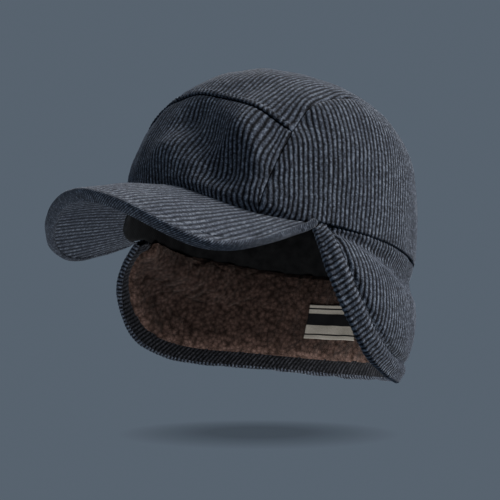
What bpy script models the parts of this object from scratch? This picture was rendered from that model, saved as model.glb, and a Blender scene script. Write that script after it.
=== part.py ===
"""Corduroy cap with a short padded brim and a wrap-around ear and neck flap lined with pile.

Blender 4.5, metres, +Z up. The wearer looks along -Y and the wearer's left is +X. The origin is the
centre of the head opening, at the height of the temples, where the brim and the flap both begin.
"""
import math

import bmesh
import bpy
import numpy as np

MM = 0.001

# Crown, outside sizes
HALF_WIDTH = 92.6 * MM
FRONT_REACH = 100.5 * MM
BACK_REACH = 100.6 * MM
CROWN_HEIGHT = 114.9 * MM
PLAN_ROUNDNESS = 1.9
PROFILE_ROUNDNESS = 1.95

# Walls and the small spaces between the pieces
CLOTH = 2.0 * MM
LAYER_GAP = 0.3 * MM
FLAP_LAYER_GAP = 0.5 * MM
SEAM_GAP = 0.5 * MM
SEAM_DIP = 0.9 * MM
SEAM_ROLL = 3.5 * MM
OVERHANG = 1.2 * MM
BRIM_ROOT_INSET = 0.5 * MM
BAND_INSET = 4.0 * MM

# Base line of the crown: arched over the brim, level at the sides, a little lower behind
TEMPLE_AZIMUTH = 59.4
BRIM_ARCH = 15.1 * MM
BACK_DROP = 2.8 * MM

# Brim
BRIM_REACH = 46.0 * MM
BRIM_SAG = 26.0 * MM
BRIM_THICKNESS = 7.0 * MM
BRIM_UNDER_CLOTH = 2.0 * MM
BRIM_UNDER_INSET = 4.0 * MM
BRIM_UNDER_ROOT = 1.5 * MM
BRIM_EDGE_ROLL = 3.5 * MM
BRIM_CROWNING = 2.5 * MM
BRIM_TEMPLE_SHARE = 0.45

# Flap
FLAP_DROP = 74.0 * MM
FLAP_BULGE = 9.0 * MM
FLAP_TUCK = 1.2 * MM
HEM_WIDTH = 10.0 * MM
PILE = 5.0 * MM

# Sweatband and label
BAND_HEIGHT = 38.0 * MM
BAND_CLOTH = 1.5 * MM
LABEL_WIDTH = 42.0 * MM
LABEL_HEIGHT = 28.0 * MM
LABEL_CLOTH = 0.8 * MM

# Height of the base line in front, against the share of the way from the middle to a temple,
# as shares of BRIM_ARCH
BASE_LINE = [
    (0.0, 1.0),
    (0.4, 0.39),
    (0.75, -0.10),
    (1.0, 0.0),
]

# Broad forms of the crown: name, azimuth, elevation, their spreads in degrees, and how far the cloth
# stands out as a share of CROWN_HEIGHT. Azimuth 0 is the front, 90 the wearer's left.
FORMS = [
    ("full front", 0, 54, 55, 24, 0.050),
    ("full back", 180, 45, 60, 24, 0.059),
    ("full left side", 90, 45, 45, 22, 0.070),
    ("full right side", -90, 45, 45, 22, 0.070),
    ("full left rear", 136, 36, 30, 20, 0.024),
    ("full right rear", -136, 36, 30, 20, 0.024),
    ("right front shoulder", -38, 36, 22, 26, 0.050),
    ("dent behind the front seam", 27, 47, 16, 7, -0.020),
    ("pucker at the left corner", 51, 35, 6, 5, -0.016),
    ("long dent of the front, upper end", 9, 35, 11, 7, -0.030),
    ("long dent of the front, lower end", 26, 19, 11, 8, -0.028),
    ("ridge right of the dent", 6, 20, 12, 7, 0.012),
    ("ridge left of the dent", 37, 27, 9, 9, 0.012),
    ("fold of the right shoulder", -14, 27, 5, 16, 0.012),
    ("hollow over the brim seam", 0, 12, 50, 3, -0.008),
]

# Seam between front panel and side panel: the share of the way from its foot to its corner,
# azimuth and elevation in degrees. The foot's elevation comes from the base line.
FRONT_SIDE_FOOT = 40.0
CORNER_AZIMUTH = 48.5
CORNER_ELEVATION = 30.5
FRONT_TOP_ELEVATION = 44.0

# Seam between top panel and side panel, from the corner over to the back of the base:
# azimuth and elevation in degrees
BACK_FOOT_AZIMUTH = 149.0
TOP_SIDE_SEAM = [
    (53.0, 39.0),
    (62.0, 46.0),
    (75.0, 49.5),
    (90.0, 51.0),
    (105.0, 49.0),
    (121.0, 42.0),
    (134.0, 30.0),
    (143.0, 16.0),
]
SIDE_PANEL_TURN = 6

# Outer edge of the brim from its middle to a temple: across as a share of HALF_WIDTH, forward as a
# share of FRONT_REACH + BRIM_REACH, up as a share of BRIM_SAG
BRIM_EDGE = [
    (0.0, 1.0, -0.19),
    (0.497, 0.908, -0.65),
    (0.732, 0.744, -1.0),
]

# Lower edge of the flap from the middle of the back to a temple: across as a share of HALF_WIDTH,
# back as a share of BACK_REACH, up as a share of FLAP_DROP
FLAP_EDGE = [
    (0.0, 0.808, -0.992),
    (0.768, 0.546, -1.0),
    (1.124, -0.158, -0.908),
    (1.038, -0.472, -0.371),
]

# How far the flap stands out half way down, against the share of the way from the middle of the back
# to a temple, as shares of FLAP_BULGE
FLAP_FULLNESS = [
    (0.0, 0.35),
    (0.3, 0.42),
    (0.6, 1.0),
    (0.85, 0.6),
    (1.0, 0.0),
]

# Where the brim and the flap end, as shares of the way to the temple
BRIM_END = 0.975
BRIM_UNDER_END = 0.92
FLAP_END = 0.975
HEM_TOP = 0.02
LINING_DROP = 2.5 * MM
LINING_MARGIN = 6.0 * MM
EDGE_POWER = 0.7

# Middle of the label on the lining, as shares round the flap and down it, and its slant in degrees
LABEL_ROUND = -0.045
LABEL_DOWN = 0.465
LABEL_SLANT = 9.0

# Facets: cells across and down each sheet
FRONT_CELLS = (16, 11)
TOP_CELLS = (14, 18)
SIDE_CELLS = (18, 11)
BRIM_CELLS = (30, 7)
BRIM_UNDER_CELLS = (24, 5)
FLAP_CELLS = (42, 9)
HEM_CELLS = (42, 2)
LINING_CELLS = (36, 7)
BAND_CELLS = (48, 3)
LABEL_CELLS = (5, 5)


def spline(places, knots, wanted):
    """Natural cubic curve through the rows of places at the knots, read at the wanted values."""
    knots = np.asarray(knots, float)
    places = np.asarray(places, float).reshape(len(knots), -1)
    wanted = np.atleast_1d(np.asarray(wanted, float))
    step = np.diff(knots)
    slope = np.diff(places, axis=0) / step[:, None]
    matrix = np.eye(len(knots))
    right = np.zeros_like(places)
    for row in range(1, len(knots) - 1):
        matrix[row, row - 1] = step[row - 1]
        matrix[row, row] = 2 * (step[row - 1] + step[row])
        matrix[row, row + 1] = step[row]
        right[row] = 6 * (slope[row] - slope[row - 1])
    bend = np.linalg.solve(matrix, right)
    cell = np.clip(np.searchsorted(knots, wanted, side="right") - 1, 0, len(step) - 1)
    width = step[cell][:, None]
    before = (knots[cell + 1] - wanted)[:, None]
    after = (wanted - knots[cell])[:, None]
    curve = bend[cell] * before**3 / (6 * width) + bend[cell + 1] * after**3 / (6 * width)
    curve += (places[cell] / width - bend[cell] * width / 6) * before
    curve += (places[cell + 1] / width - bend[cell + 1] * width / 6) * after
    return curve


def spaced_knots(places):
    """Knots for a curve through places, spread by the distances between them, from 0 to 1."""
    lengths = np.linalg.norm(np.diff(places, axis=0), axis=1) ** EDGE_POWER
    knots = np.concatenate([[0.0], np.cumsum(lengths)])
    return knots / knots[-1]


def mirrored_rows(rows):
    """The rows of a symmetric table, from the far end through the middle to the near end."""
    left = [(-row[0],) + tuple(row[1:]) for row in rows[:0:-1]]
    return left + list(rows)


def turned(azimuth, centre):
    """Azimuth counted from a centre, between -180 and 180 degrees."""
    return (azimuth - centre + 180.0) % 360.0 - 180.0


def plan_radius(azimuth):
    """Outside radius of the crown's plan at the base."""
    angle = math.radians(azimuth)
    reach = FRONT_REACH if math.cos(angle) > 0 else BACK_REACH
    across = abs(math.sin(angle)) / HALF_WIDTH
    along = abs(math.cos(angle)) / reach
    return (across**PLAN_ROUNDNESS + along**PLAN_ROUNDNESS) ** (-1 / PLAN_ROUNDNESS)


def base_height(azimuth):
    """Height of the crown's lower edge."""
    way = abs(turned(azimuth, 0.0))
    if way <= TEMPLE_AZIMUTH:
        rows = mirrored_rows(BASE_LINE)
        share = way / TEMPLE_AZIMUTH
        return BRIM_ARCH * float(spline([row[1] for row in rows], [row[0] for row in rows], share)[0, 0])
    behind = (way - TEMPLE_AZIMUTH) / (180.0 - TEMPLE_AZIMUTH)
    return -BACK_DROP * math.sin(0.5 * math.pi * behind) ** 2


def base_elevation(azimuth):
    """Elevation of the crown's lower edge, seen from the origin."""
    return math.degrees(math.atan2(base_height(azimuth), plan_radius(azimuth)))


def crown_point(azimuth, elevation, inset=0.0):
    """Point on the outside of the crown, or so far inside it."""
    angle = math.radians(azimuth)
    rise = math.radians(elevation)
    flat = (abs(math.cos(rise)) / plan_radius(azimuth)) ** PROFILE_ROUNDNESS
    tall = (abs(math.sin(rise)) / CROWN_HEIGHT) ** PROFILE_ROUNDNESS
    radius = (flat + tall) ** (-1 / PROFILE_ROUNDNESS)
    for name, around, up, around_spread, up_spread, share in FORMS:
        aside = turned(azimuth, around) / around_spread
        above = (elevation - up) / up_spread
        radius += share * CROWN_HEIGHT * math.exp(-aside**2 - above**2)
    radius -= inset
    level = radius * math.cos(rise)
    return np.array([level * math.sin(angle), -level * math.cos(angle), radius * math.sin(rise)])


def base_point(azimuth, inset=0.0):
    """Point on the crown's lower edge, or so far inside it."""
    return crown_point(azimuth, base_elevation(azimuth), inset)


def direction(azimuth, elevation):
    """Unit vector for an azimuth and an elevation in degrees."""
    angle = math.radians(azimuth)
    rise = math.radians(elevation)
    level = math.cos(rise)
    return np.array([level * math.sin(angle), -level * math.cos(angle), math.sin(rise)])


def on_crown(way, inset=0.0):
    """Point where a direction from the origin meets the crown."""
    way = way / np.linalg.norm(way)
    azimuth = math.degrees(math.atan2(way[0], -way[1]))
    return crown_point(azimuth, math.degrees(math.asin(way[2])), inset)


def base_way(azimuth):
    """Direction of a point of the crown's lower edge."""
    return direction(azimuth, base_elevation(azimuth))


def front_side_way(share, side):
    """Direction along the seam between the front and a side panel, from its foot to its corner."""
    azimuth = FRONT_SIDE_FOOT + (CORNER_AZIMUTH - FRONT_SIDE_FOOT) * share**1.5
    low = base_elevation(azimuth)
    return direction(side * azimuth, low + (CORNER_ELEVATION - low) * share)


def front_top_way(share):
    """Direction along the seam over the front panel, from the right corner to the left one."""
    azimuth = CORNER_AZIMUTH * (2 * share - 1)
    arch = math.cos(0.5 * math.pi * (2 * share - 1))
    return direction(azimuth, CORNER_ELEVATION + (FRONT_TOP_ELEVATION - CORNER_ELEVATION) * arch)


def top_side_rows():
    """The rows of the seam between the top and a side panel, with its corner and its foot."""
    foot = (BACK_FOOT_AZIMUTH, base_elevation(BACK_FOOT_AZIMUTH))
    return [(CORNER_AZIMUTH, CORNER_ELEVATION)] + TOP_SIDE_SEAM + [foot]


def top_side_way(share, side, start=0.0, end=1.0):
    """Direction along the seam between the top and a side panel, or along a stretch of it."""
    rows = top_side_rows()
    knots = np.arange(len(rows)) / (len(rows) - 1)
    azimuth, elevation = spline(rows, knots, start + (end - start) * share)[0]
    return direction(side * azimuth, elevation)


def patch(low, high, left, right):
    """Blend four border curves into one surface of directions over the unit square."""
    corners = (low(0.0), low(1.0), high(0.0), high(1.0))

    def way(across, up):
        between = (1 - up) * low(across) + up * high(across) + (1 - across) * left(up) + across * right(up)
        bottom = (1 - across) * corners[0] + across * corners[1]
        top = (1 - across) * corners[2] + across * corners[3]
        return between - (1 - up) * bottom - up * top
    return way


def front_panel_way():
    """The front panel, between the brim seam and the seam over it."""
    return patch(lambda u: base_way(FRONT_SIDE_FOOT * (2 * u - 1)), front_top_way,
                 lambda v: front_side_way(v, -1), lambda v: front_side_way(v, 1))


def top_panel_way():
    """The strip from the seam over the front, across the top to the back of the base."""
    back = 180.0 - BACK_FOOT_AZIMUTH
    return patch(front_top_way, lambda u: base_way(180.0 + back * (1 - 2 * u)),
                 lambda v: top_side_way(v, -1), lambda v: top_side_way(v, 1))


def side_panel_way(side):
    """A side panel. Its upper seam makes both the top and the back of its four borders."""
    turn = SIDE_PANEL_TURN / (len(TOP_SIDE_SEAM) + 1)
    reach = BACK_FOOT_AZIMUTH - FRONT_SIDE_FOOT
    return patch(lambda u: base_way(side * (FRONT_SIDE_FOOT + reach * u)),
                 lambda u: top_side_way(u, side, 0.0, turn),
                 lambda v: front_side_way(v, side),
                 lambda v: top_side_way(1 - v, side, turn, 1.0))


def edge_curve(rows, sizes, temple):
    """Places and knots of an edge, from the right temple round to the left one."""
    half = [np.array([row[0], row[1], row[2]]) * sizes for row in rows] + [temple]
    places = np.array([place * [-1, 1, 1] for place in half[:0:-1]] + half)
    return places, spaced_knots(places)


def temple_point():
    """Where the brim and the flap begin, on the wearer's left."""
    return base_point(TEMPLE_AZIMUTH)


def brim_edge(round_share):
    """Middle of the brim's outer edge, from -1 at the right temple to 1 at the left one."""
    sizes = np.array([HALF_WIDTH, -(FRONT_REACH + BRIM_REACH), BRIM_SAG])
    places, knots = edge_curve(BRIM_EDGE, sizes, temple_point())
    return spline(places, knots, 0.5 + 0.5 * round_share)[0]


def brim_share(round_share):
    """Thickness of the padded brim as a share of its full one, less towards the temples."""
    return 1 - (1 - BRIM_TEMPLE_SHARE) * abs(round_share) ** 3


def brim_rule(round_share, out):
    """Straight lines from the brim's root to the middle of its edge, crowned a little."""
    root = base_point(TEMPLE_AZIMUTH * round_share, BRIM_ROOT_INSET)
    root[2] -= SEAM_GAP
    edge = brim_edge(round_share)
    place = root + (edge - root) * out
    place[2] += BRIM_CROWNING * (1 - round_share**2) * math.sin(math.pi * out)
    return place


def brim_surface(round_share, out):
    """Top of the brim: at the root just under the crown, at the edge half a thickness up."""
    normal = normal_of(brim_rule, round_share, out)
    lift = 0.5 * BRIM_THICKNESS * brim_share(round_share) * out**2
    return brim_rule(round_share, out) - lift * normal


def brim_point(round_share, out, depth):
    """Point of the brim at a share of its full thickness under its top."""
    normal = normal_of(brim_surface, round_share, out)
    return brim_surface(round_share, out) + depth * brim_share(round_share) * normal


def normal_of(surface, across, down, step=1e-3):
    """Unit normal of a surface over the unit square, by small steps."""
    along = surface(across + step, down) - surface(across - step, down)
    below = surface(across, down + step) - surface(across, down - step)
    normal = np.cross(along, below)
    return normal / np.linalg.norm(normal)


def flap_top(round_share):
    """Upper edge of the flap, just under the crown, from the back at 0 to a temple at 1 or -1."""
    azimuth = 180.0 - (180.0 - TEMPLE_AZIMUTH) * round_share
    place = base_point(azimuth, OVERHANG)
    place[2] -= SEAM_GAP
    return place


def flap_edge(round_share):
    """Lower edge of the flap, from the right temple at -1 to the left one at 1."""
    sizes = np.array([HALF_WIDTH, BACK_REACH, FLAP_DROP])
    places, knots = edge_curve(FLAP_EDGE, sizes, temple_point())
    return spline(places, knots, 0.5 + 0.5 * round_share)[0]


def fullness(round_share):
    """How far the flap stands out half way down."""
    rows = mirrored_rows(FLAP_FULLNESS)
    knots = [row[0] for row in rows]
    return FLAP_BULGE * float(spline([row[1] for row in rows], knots, round_share)[0, 0])


def flap_surface(round_share, down):
    """Outside of the flap."""
    top = flap_top(round_share)
    edge = flap_edge(round_share)
    place = top + (edge - top) * down
    azimuth = math.radians(180.0 - (180.0 - TEMPLE_AZIMUTH) * round_share)
    out = np.array([math.sin(azimuth), -math.cos(azimuth), 0.0])
    swell = fullness(round_share) * math.sin(math.pi * down**1.3)
    tuck = FLAP_TUCK * (1 - round_share**8) * math.sin(math.pi * min(1.0, down / 0.3)) ** 2
    return place + out * (swell - tuck)


def flap_point(round_share, down, depth=0.0):
    """Point of the flap at a depth under its outside."""
    place = flap_surface(round_share, down)
    if depth == 0.0:
        return place
    return place - depth * normal_of(flap_surface, round_share, down)


def hem_start(round_share, width):
    """How far down the flap a strip of that width along its edge starts."""
    top = flap_surface(round_share, 0.0)
    edge = flap_edge(round_share)
    along = flap_edge(round_share + 1e-3) - flap_edge(round_share - 1e-3)
    along /= np.linalg.norm(along)
    fall = edge - top
    across = np.linalg.norm(fall - along * np.dot(fall, along))
    return 1.0 - width / max(across, 1e-6)


def lining_end():
    """Share of the way to the temple where the lining is still LINING_MARGIN tall."""
    for share in np.arange(FLAP_END, 0.5, -0.005):
        start = hem_start(share, HEM_WIDTH)
        if start > 0 and start * np.linalg.norm(flap_edge(share) - flap_top(share)) > LINING_MARGIN:
            return float(share)
    return 0.5


def even(cells):
    """Shares from 0 to 1 in equal steps."""
    return np.linspace(0.0, 1.0, cells + 1)


def with_seams(cells, length):
    """Shares from 0 to 1 whose first and last steps are the narrow rolls beside the seams."""
    roll = SEAM_ROLL / length
    return np.concatenate([[0.0], np.linspace(roll, 1.0 - roll, cells - 1), [1.0]])


def laid(surface, across, down):
    """Points of a surface for the shares down, row by row, and across."""
    return np.array([[surface(u, v) for u in across] for v in down])


def pulled_in(points, distance):
    """The points with the four borders drawn in from their neighbours by a distance."""
    points = points.copy()
    for line, inner in ((points[0], points[1]), (points[-1], points[-2]),
                        (points[:, 0], points[:, 1]), (points[:, -1], points[:, -2])):
        way = inner - line
        line += way * distance / np.linalg.norm(way, axis=1, keepdims=True)
    return points


def new_material(name, colour, roughness):
    """A plain coloured material."""
    material = bpy.data.materials.new(name)
    material.use_nodes = True
    shader = material.node_tree.nodes["Principled BSDF"]
    shader.inputs["Base Color"].default_value = (*colour, 1.0)
    shader.inputs["Roughness"].default_value = roughness
    shader.inputs["Metallic"].default_value = 0.0
    return material


def sheet(name, points, thickness, material, side=-1.0, weights=None, loop=False):
    """A sheet of cloth: a grid laid on rows of points, thickened inwards.

    Seen from outside the hat, the points run rightwards along a row and the rows run downwards.
    """
    rows, columns = points.shape[:2]
    mesh = bpy.data.meshes.new(name)
    work = bmesh.new()
    bmesh.ops.create_grid(work, x_segments=columns - 1, y_segments=rows - 1, size=0.5)
    layer = work.verts.layers.deform.new()
    for vertex in work.verts:
        column = round((vertex.co.x + 0.5) * (columns - 1))
        row = round((0.5 - vertex.co.y) * (rows - 1))
        vertex.co = points[row, column]
        vertex[layer][0] = 1.0 if weights is None else weights[row, column]
    if loop:
        bmesh.ops.remove_doubles(work, verts=work.verts, dist=0.01 * MM)
    work.normal_update()
    work.to_mesh(mesh)
    work.free()
    mesh.materials.append(material)
    mesh.shade_smooth()
    piece = bpy.data.objects.new(name, mesh)
    piece.vertex_groups.new(name="wall share")
    wall = piece.modifiers.new("wall", "SOLIDIFY")
    wall.thickness = thickness
    wall.offset = side
    if weights is not None:
        wall.vertex_group = "wall share"
    return piece


def crown_panel(name, way, cells, width, height, material, mirrored=False):
    """One panel of the crown, with its borders rolled in along the seams."""
    across = with_seams(cells[0], width)
    down = with_seams(cells[1], height)
    if mirrored:
        across = across[::-1]

    def place(u, v):
        border = v in (0.0, 1.0) or u in (0.0, 1.0)
        return on_crown(way(u, 1.0 - v), SEAM_DIP if border else 0.0)
    points = laid(place, across, down)
    return sheet(name, pulled_in(points, 0.5 * SEAM_GAP), CLOTH, material)


def crown_panels(material):
    """Front, top and two side panels."""
    front_width = math.radians(2 * CORNER_AZIMUTH) * HALF_WIDTH
    front_height = math.radians(FRONT_TOP_ELEVATION) * FRONT_REACH
    side_width = math.radians(BACK_FOOT_AZIMUTH - FRONT_SIDE_FOOT) * HALF_WIDTH
    side_height = math.radians(CORNER_ELEVATION) * CROWN_HEIGHT
    top_length = math.pi * CROWN_HEIGHT - front_height
    front = crown_panel("crown_front_panel", front_panel_way(), FRONT_CELLS, front_width, front_height,
                        material)
    top = crown_panel("crown_top_panel", top_panel_way(), TOP_CELLS, front_width, top_length, material)
    left = crown_panel("crown_side_left", side_panel_way(1), SIDE_CELLS, side_width, side_height, material)
    right = crown_panel("crown_side_right", side_panel_way(-1), SIDE_CELLS, side_width, side_height, material,
                        mirrored=True)
    return [front, top, left, right]


def brim_upper(material):
    """Padded upper of the brim, round at its edge."""
    rounds = BRIM_END * (2 * even(BRIM_CELLS[0]) - 1)
    roll = BRIM_EDGE_ROLL / BRIM_REACH
    outs = np.concatenate([np.linspace(0, 1 - roll, BRIM_CELLS[1] - 1), [1 - 0.35 * roll, 1.0]])
    shares = [1.0] * (len(outs) - 2) + [0.75, 0.35]
    wall = BRIM_THICKNESS - BRIM_UNDER_CLOTH - LAYER_GAP
    points = laid(lambda u, v: brim_point(u, v, 0.5 * wall), rounds, outs)
    weights = np.array([[share * brim_share(u) for u in rounds] for share in shares])
    return sheet("brim_upper", points, wall, material, side=0.0, weights=weights)


def brim_under(material):
    """Corduroy underside of the brim, a little inside its edge."""
    rounds = BRIM_UNDER_END * (2 * even(BRIM_UNDER_CELLS[0]) - 1)
    outs = np.linspace(BRIM_UNDER_ROOT, BRIM_REACH - BRIM_UNDER_INSET, BRIM_UNDER_CELLS[1] + 1) / BRIM_REACH
    depth = BRIM_THICKNESS - BRIM_UNDER_CLOTH
    points = laid(lambda u, v: brim_point(u, v, depth), rounds, outs)
    weights = np.array([[brim_share(u) for u in rounds] for row in points])
    return sheet("brim_under", points, BRIM_UNDER_CLOTH, material, weights=weights)


def flap_outer(material):
    """Corduroy outside of the flap."""
    rounds = FLAP_END * (1 - 2 * even(FLAP_CELLS[0]))
    return sheet("flap_outer", laid(flap_surface, rounds, even(FLAP_CELLS[1])), CLOTH, material)


def flap_hem(material):
    """Corduroy turned in along the edge of the flap."""
    rounds = FLAP_END * (1 - 2 * even(HEM_CELLS[0]))
    depth = CLOTH + FLAP_LAYER_GAP

    def place(u, v):
        start = max(hem_start(u, HEM_WIDTH), HEM_TOP)
        return flap_point(u, start + (1 - start) * v, depth)
    return sheet("flap_hem", laid(place, rounds, even(HEM_CELLS[1])), CLOTH, material)


def flap_lining(material):
    """Pile lining of the flap, from the sweatband down to the hem."""
    rounds = lining_end() * (1 - 2 * even(LINING_CELLS[0]))
    depth = CLOTH + FLAP_LAYER_GAP

    def place(u, v):
        start = LINING_DROP / FLAP_DROP
        last = hem_start(u, HEM_WIDTH + 2 * LAYER_GAP)
        return flap_point(u, start + (last - start) * v, depth)
    return sheet("flap_lining", laid(place, rounds, even(LINING_CELLS[1])), PILE, material)


def sweatband(material):
    """Smooth band round the inside of the crown's base, down behind the root of the brim in front."""
    rise = math.degrees(BAND_HEIGHT / HALF_WIDTH)

    def place(u, v):
        azimuth = 360.0 * u - 180.0
        point = crown_point(azimuth, base_elevation(azimuth) + rise * (1 - v), BAND_INSET)
        share = abs(azimuth) / TEMPLE_AZIMUTH
        if v == 1.0 and share < 1.0:
            point[2] -= (BRIM_THICKNESS * brim_share(share) + SEAM_GAP) * (1 - share**6)
        return point
    return sheet("sweatband", laid(place, even(BAND_CELLS[0]), even(BAND_CELLS[1])), BAND_CLOTH, material,
                 loop=True)


def label(material):
    """Small woven label sewn on the lining, near the middle of the back."""
    depth = CLOTH + PILE + 2 * FLAP_LAYER_GAP
    step = 0.01
    ahead = flap_point(LABEL_ROUND + step, LABEL_DOWN, depth)
    below = flap_point(LABEL_ROUND, LABEL_DOWN + step, depth)
    middle = flap_point(LABEL_ROUND, LABEL_DOWN, depth)
    round_length = np.linalg.norm(ahead - middle) / step
    down_length = np.linalg.norm(below - middle) / step
    lean = math.tan(math.radians(LABEL_SLANT))

    def place(u, v):
        down = LABEL_HEIGHT * (v - 0.5)
        aside = LABEL_WIDTH * (0.5 - u) + lean * down
        return flap_point(LABEL_ROUND + aside / round_length, LABEL_DOWN + down / down_length, depth)
    return sheet("label", laid(place, even(LABEL_CELLS[0]), even(LABEL_CELLS[1])), LABEL_CLOTH, material)


def build():
    """Clear the file and build the hat in a collection of its own."""
    for thing in list(bpy.data.objects):
        bpy.data.objects.remove(thing, do_unlink=True)
    corduroy = new_material("corduroy", (0.12, 0.135, 0.17), 0.9)
    pile = new_material("pile", (0.20, 0.15, 0.13), 0.95)
    band = new_material("band cloth", (0.03, 0.03, 0.033), 0.8)
    woven = new_material("woven label", (0.62, 0.58, 0.50), 0.8)
    pieces = crown_panels(corduroy)
    pieces += [brim_upper(corduroy), brim_under(corduroy)]
    pieces += [flap_outer(corduroy), flap_hem(corduroy), flap_lining(pile)]
    pieces += [sweatband(band), label(woven)]
    hat = bpy.data.collections.new("corduroy hat")
    bpy.context.scene.collection.children.link(hat)
    for piece in pieces:
        hat.objects.link(piece)


build()
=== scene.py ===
"""Looks of the corduroy cap: ribbed cloth, curly pile, sweatband, plain label and stitching.

Metres, in the frame of the solids: +Z up, the wearer looks along -Y, the wearer's left is +X. The
shapes follow the same driving sizes and the same surfaces as the solids.
"""
import math

import bmesh
import bpy
import numpy as np
from mathutils import Matrix, Vector


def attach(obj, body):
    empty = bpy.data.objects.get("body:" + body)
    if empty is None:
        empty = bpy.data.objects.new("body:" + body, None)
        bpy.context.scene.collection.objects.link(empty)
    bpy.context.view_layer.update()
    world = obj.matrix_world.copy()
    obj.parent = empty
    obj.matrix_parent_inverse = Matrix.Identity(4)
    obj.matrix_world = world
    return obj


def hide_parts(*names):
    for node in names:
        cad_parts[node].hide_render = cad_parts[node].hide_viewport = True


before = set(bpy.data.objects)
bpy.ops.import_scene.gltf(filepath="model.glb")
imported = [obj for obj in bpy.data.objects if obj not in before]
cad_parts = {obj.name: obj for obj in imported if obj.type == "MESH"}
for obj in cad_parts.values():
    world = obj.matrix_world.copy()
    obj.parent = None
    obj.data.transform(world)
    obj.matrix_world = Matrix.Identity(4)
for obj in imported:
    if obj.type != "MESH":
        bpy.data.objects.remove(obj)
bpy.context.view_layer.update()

MM = 0.001

# Crown, outside sizes
HALF_WIDTH = 92.6 * MM
FRONT_REACH = 100.5 * MM
BACK_REACH = 100.6 * MM
CROWN_HEIGHT = 114.9 * MM
PLAN_ROUNDNESS = 1.9
PROFILE_ROUNDNESS = 1.95

# Spaces between the pieces, and how their cloth dips and turns in at the seams
CLOTH = 2.0 * MM
SEAM_GAP = 0.5 * MM
SEAM_DIP = 0.45 * MM
SEAM_ROLL = 1.3 * MM
OVERHANG = 1.2 * MM
LAYER_GAP = 0.5 * MM
BRIM_ROOT_INSET = 0.5 * MM
BAND_INSET = 4.0 * MM
PANEL_TURN = 1.0 * MM
CROWN_UNEVEN = 0.35 * MM
CROWN_WAVE = 30.0 * MM

# Raised welt of the top panel along the front seam: its height, and where it dies out
WELT_HEIGHT = 0.9 * MM
WELT_ENDS = (6.0 * MM, 8.5 * MM)
FRONT_STITCHES = (1.8 * MM, 6.0 * MM)

# Inner lining of the crown: elevations over its lower edge and at its top, in degrees
LINING_START = 4.0
LINING_TOP = 89.8
LINING_INSET = 3.4 * MM

# Base line of the crown
TEMPLE_AZIMUTH = 59.4
BRIM_ARCH = 15.1 * MM
BACK_DROP = 2.8 * MM
BASE_LINE = [
    (0.0, 1.0),
    (0.4, 0.39),
    (0.75, -0.10),
    (1.0, 0.0),
]

# Brim
BRIM_REACH = 46.0 * MM
BRIM_SAG = 26.0 * MM
BRIM_THICKNESS = 7.0 * MM
BRIM_CROWNING = 2.5 * MM
BRIM_TEMPLE_SHARE = 0.45
BRIM_WRAP = 2.5 * MM
BRIM_TUCK = 4.0 * MM
BRIM_HOLLOW = 3.2 * MM
BRIM_HOLLOW_HEIGHT = 5.5 * MM
BRIM_END = 0.985
BRIM_FACE_PITCH = 1.5 * MM
BRIM_FACE_SLANT = 0.8
BRIM_LENGTH = 300.0 * MM
BRIM_STITCH = 5.5 * MM
BRIM_TURN = 0.8 * MM
BRIM_UNEVEN = 0.25 * MM
BRIM_RELIEF = 0.5 * MM
BRIM_STITCH_SPREAD = 1.0 * MM
BRIM_LIP = (1.4 * MM, 0.8 * MM)
BRIM_UNDER_RISE = 0.6 * MM

# Rolled face of the brim: how far ahead of the edge and how far down, as shares of the thickness
BRIM_FACE = [
    (0.0, 0.0),
    (0.20, 0.10),
    (0.24, 0.38),
    (0.13, 0.72),
    (0.0, 1.0),
]

# Flap
FLAP_DROP = 74.0 * MM
FLAP_BULGE = 9.0 * MM
FLAP_TUCK = 7.5 * MM
FLAP_TUCK_BACK = 2.2 * MM
FLAP_TUCK_DEPTH = 0.38
FLAP_RIB_LEVEL = 0.95
FLAP_RIB_PITCH = 2.8 * MM
FLAP_UNEVEN = 0.4 * MM
FLAP_ROOT_DEPTH = 2.2 * MM
FLAP_ROOT_RISE = 4.0 * MM
FLAP_END = 0.985
HEM_WIDTH = 10.0 * MM
HEM_PUFF = 0.9 * MM
HEM_STITCH_DEPTH = 1.5 * MM
HEM_STITCH_SPREAD = 1.8 * MM
HEM_SLANT = 0.35
HEM_SWELL = 0.7 * MM
HEM_UNEVEN = 0.2 * MM
HEM_TURN = 1.2 * MM
FLAP_TURN = 0.6 * MM

# Pile lining: its thickness, the depth between its curls, the size it is laid out at and its fineness
PILE = 5.0 * MM
PILE_DEPTH = 3.1 * MM
PILE_LENGTH = 430.0 * MM
PILE_DROP = 66.0 * MM
PILE_START = -0.04
PILE_CELL = 0.8 * MM
PILE_TURN = 1.5 * MM

# Relief of the pile: size, seed and share of its tufts, how far their rows wander and over what size,
# its broad waves, how far it sinks along its border and over what width, and how wide its lighter border is
PILE_TUFTS = [
    (4.8 * MM, 7, 0.7),
    (2.6 * MM, 8, 0.3),
]
PILE_WANDER = (1.2 * MM, 7.0 * MM)
PILE_WAVE = (0.7 * MM, 14.0 * MM)
PILE_SUNK = (2.4 * MM, 4.0 * MM)
PILE_LIGHTER_BORDER = 9.0 * MM

# Sweatband and label
BAND_HEIGHT = 38.0 * MM
BAND_CLOTH = 1.5 * MM
BAND_TURN = 2.0 * MM
BAND_ROLL = 0.9 * MM
BAND_WAVE = (0.35 * MM, 24.0 * MM)
LABEL_WIDTH = 42.0 * MM
LABEL_HEIGHT = 28.0 * MM
LABEL_CLOTH = 0.8 * MM
LABEL_TURN = 0.8 * MM
LABEL_PILLOW = 0.4 * MM
LABEL_ROUND = -0.045
LABEL_DOWN = 0.465
LABEL_SLANT = 9.0
LABEL_CREAM = (0.58, 0.54, 0.46)
LABEL_DARK = (0.02, 0.02, 0.022)
LABEL_STRIPES = [(0.075, 0.11), (0.31, 0.62), (0.87, 0.90)]
LABEL_BLEND = 0.01

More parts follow.
